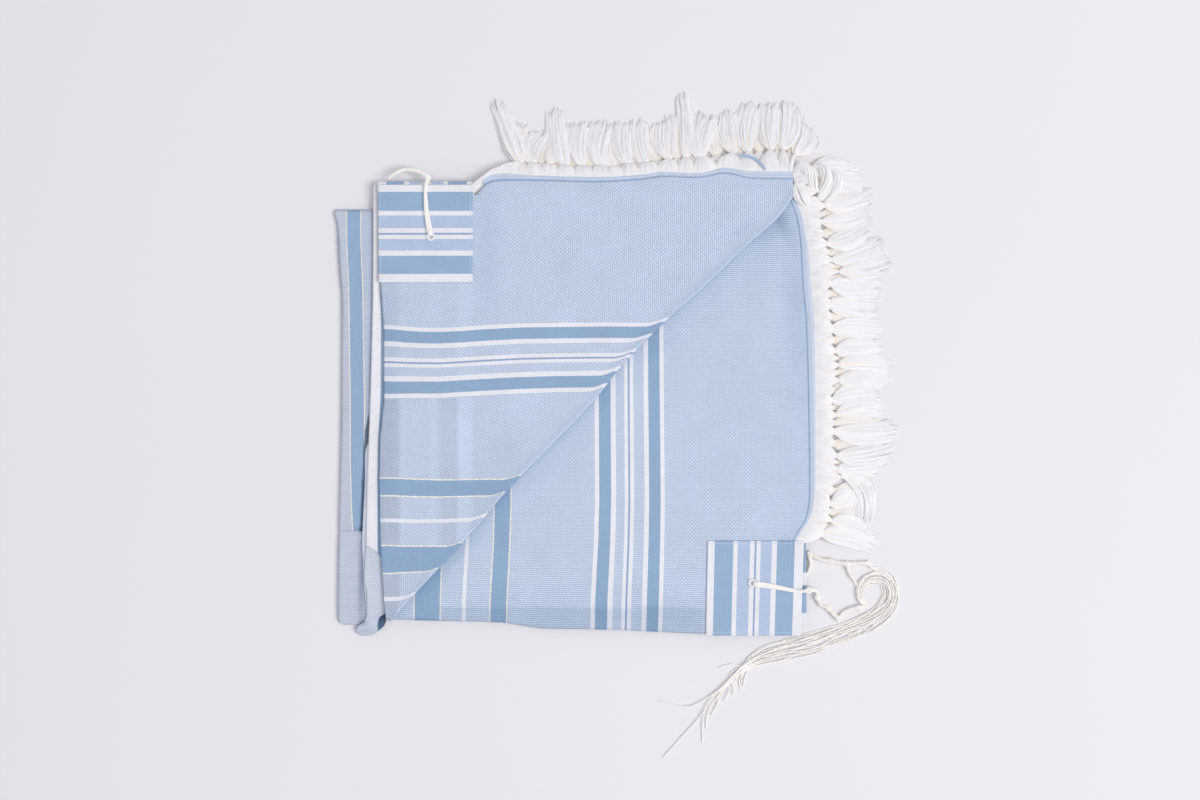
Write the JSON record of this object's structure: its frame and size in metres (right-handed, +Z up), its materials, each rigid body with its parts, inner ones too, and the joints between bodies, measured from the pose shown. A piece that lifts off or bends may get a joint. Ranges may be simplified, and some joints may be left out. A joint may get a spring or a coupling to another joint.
{
  "type": "tallit prayer shawl",
  "caption": "Striped prayer shawl folded into a flat square, one layer turned back on the diagonal, with knotted fringe, corner patches and knotted corner tassels.",
  "frame": {"origin": "middle of the folded packet's flat underside, on the surface it lies on", "axes": "+Z up from the surface, +X along the long edge towards the fringed end, +Y towards the fold across the shawl's middle"},
  "size_m": [0.5734, 0.6721, 0.0196],
  "materials": {
    "body_cloth": "light blue ribbed weave with woven stripes, matt",
    "white_stripe": "white warp-faced stripe, slightly lustrous",
    "end_hem": "pale blue turned hem, matt",
    "corner_patch": "striped satin and weave, slightly lustrous",
    "eyelet_stitching": "white buttonhole stitching",
    "fringe_yarn": "white knotted yarn, matt",
    "tzitzit_string": "ivory wool string, wound and knotted"
  },
  "bodies": {
    "root": {"folded_layers": "body_cloth", "back_fold": "body_cloth", "back_fold_lower": "body_cloth", "turned_strip": "body_cloth", "under_panel": "body_cloth", "turned_flap": "body_cloth", "white_edge_fold": "white_stripe", "end_hem_under": "end_hem", "end_hem_flap": "end_hem", "corner_patch_under": "corner_patch", "corner_patch_under_back": "corner_patch", "corner_patch_flap": "corner_patch", "corner_patch_flap_back": "corner_patch", "eyelet_under": "eyelet_stitching", "eyelet_flap": "eyelet_stitching", "fringe_top": "fringe_yarn", "fringe_right": "fringe_yarn", "tzitzit_under": "tzitzit_string", "tzitzit_lower": "tzitzit_string", "tzitzit_flap": "tzitzit_string"}
  },
  "joints": []
}
